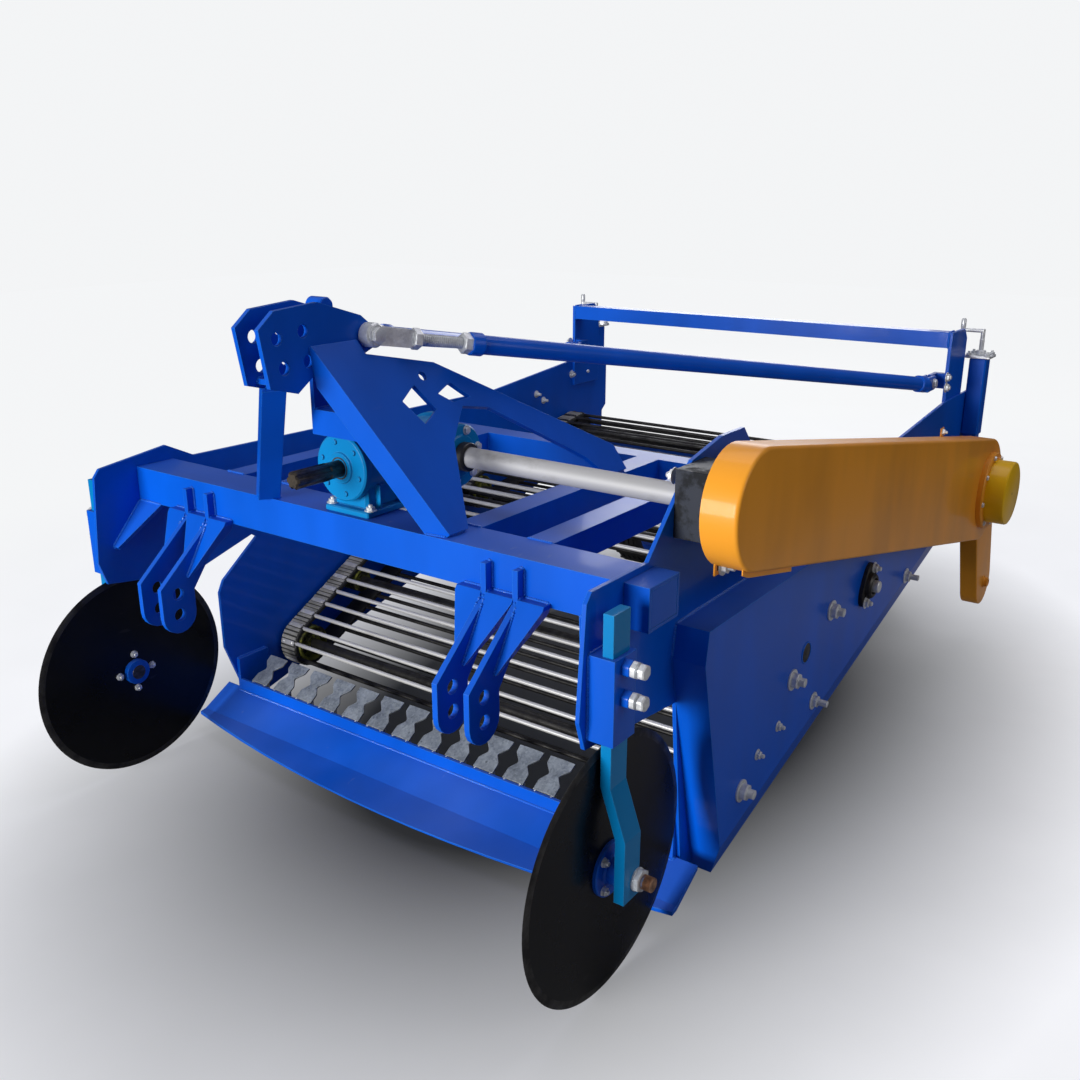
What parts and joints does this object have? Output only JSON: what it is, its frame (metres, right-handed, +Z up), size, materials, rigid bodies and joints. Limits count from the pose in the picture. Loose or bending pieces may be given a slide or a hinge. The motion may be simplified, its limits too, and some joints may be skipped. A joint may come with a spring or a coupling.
{
  "type": "potato digger",
  "caption": "Tractor-mounted potato digger: hitch frame, share, rod webs between side walls, disc coulters, gearbox with side shaft and chain case, rear depth wheels",
  "frame": {"origin": "on the floor under the centre of the machine's overall box", "axes": "+Z up, -Y forward in the direction of travel, +X towards the side with the chain case"},
  "size_m": [1.6596, 2.531, 1.183],
  "materials": {
    "blue_paint": "glossy deep blue enamel sprayed over welded steel plate and tube, with pale weld beads at the joints",
    "sky_blue_paint": "glossy light blue enamel on the gearbox casting and the coulter shanks",
    "orange_paint": "glossy orange-yellow enamel on folded sheet",
    "bare_shaft_steel": "bare bright-drawn round bar with dull mottling",
    "web_steel": "worn bright web rods on dark fabric-reinforced rubber belts",
    "zinc_steel": "zinc plated steel plate",
    "dark_steel": "dark oiled steel and iron",
    "olive_roller": "olive yellow paint on the web's supporting rollers",
    "black_disc": "gloss black paint with a thin ground bright rim",
    "black_rubber": "solid black rubber tyre on a blue painted dished wheel"
  },
  "bodies": {
    "chassis": {"front_beam": "blue_paint", "top_frame": "blue_paint", "side_wall_left": "blue_paint", "side_wall_right": "blue_paint", "side_box_right": "blue_paint", "lower_hitch_left": "blue_paint", "lower_hitch_right": "blue_paint", "hitch_mast": "blue_paint", "mast_bracket": "blue_paint", "gearbox": "sky_blue_paint", "shaft_bearing": "dark_steel", "chain_case": "orange_paint", "chain_case_cap": "orange_paint", "front_web": "web_steel", "rear_web": "dark_steel", "front_web_nose_roller": "olive_roller", "front_web_idler_low": "olive_roller", "front_web_idler_high": "olive_roller", "front_web_drive_roller": "dark_steel", "rear_web_front_roller": "olive_roller", "rear_web_drive_roller": "dark_steel", "share": "blue_paint", "share_fingers": "zinc_steel", "coulter_sleeve_left": "blue_paint", "coulter_sleeve_right": "blue_paint", "coulter_shank_left": "sky_blue_paint", "coulter_shank_right": "sky_blue_paint", "rear_post_left": "blue_paint", "rear_post_right": "blue_paint", "rear_bar": "blue_paint", "height_screw_left": "blue_paint", "height_screw_right": "blue_paint", "wheel_leg_left": "blue_paint", "wheel_leg_right": "blue_paint", "rear_axle": "blue_paint", "wheel_arm_left": "blue_paint", "wheel_arm_right": "blue_paint", "rear_stay_left": "blue_paint", "rear_stay_right": "blue_paint"},
    "pto_shaft": {"pto_shaft": "dark_steel"},
    "side_shaft": {"side_shaft": "bare_shaft_steel"},
    "coulter_disc_left": {"coulter_disc_left": "black_disc"},
    "coulter_disc_right": {"coulter_disc_right": "black_disc"},
    "depth_wheel_left": {"depth_wheel_left": "black_rubber"},
    "depth_wheel_right": {"depth_wheel_right": "black_rubber"}
  },
  "joints": [
    {"name": "pto_spin", "type": "hinge", "parent": "chassis", "child": "pto_shaft", "pos_m": [-0.04225, -0.9595, 0.858], "axis": [0, 1, 0], "continuous": true},
    {"name": "side_shaft_spin", "type": "hinge", "parent": "chassis", "child": "side_shaft", "pos_m": [0.33775, -0.7415, 0.858], "axis": [1, 0, 0], "continuous": true},
    {"name": "coulter_left_spin", "type": "hinge", "parent": "chassis", "child": "coulter_disc_left", "pos_m": [-0.75225, -1.0155, 0.25], "axis": [1, 0, 0], "continuous": true},
    {"name": "coulter_right_spin", "type": "hinge", "parent": "chassis", "child": "coulter_disc_right", "pos_m": [0.62775, -1.0155, 0.25], "axis": [1, 0, 0], "continuous": true},
    {"name": "wheel_left_spin", "type": "hinge", "parent": "chassis", "child": "depth_wheel_left", "pos_m": [-0.50225, 1.0655, 0.2], "axis": [1, 0, 0], "continuous": true},
    {"name": "wheel_right_spin", "type": "hinge", "parent": "chassis", "child": "depth_wheel_right", "pos_m": [0.37775, 1.0655, 0.2], "axis": [1, 0, 0], "continuous": true}
  ],
  "couplings": [
    {"joint": "side_shaft_spin", "follows": "pto_spin", "ratio": 1}
  ]
}
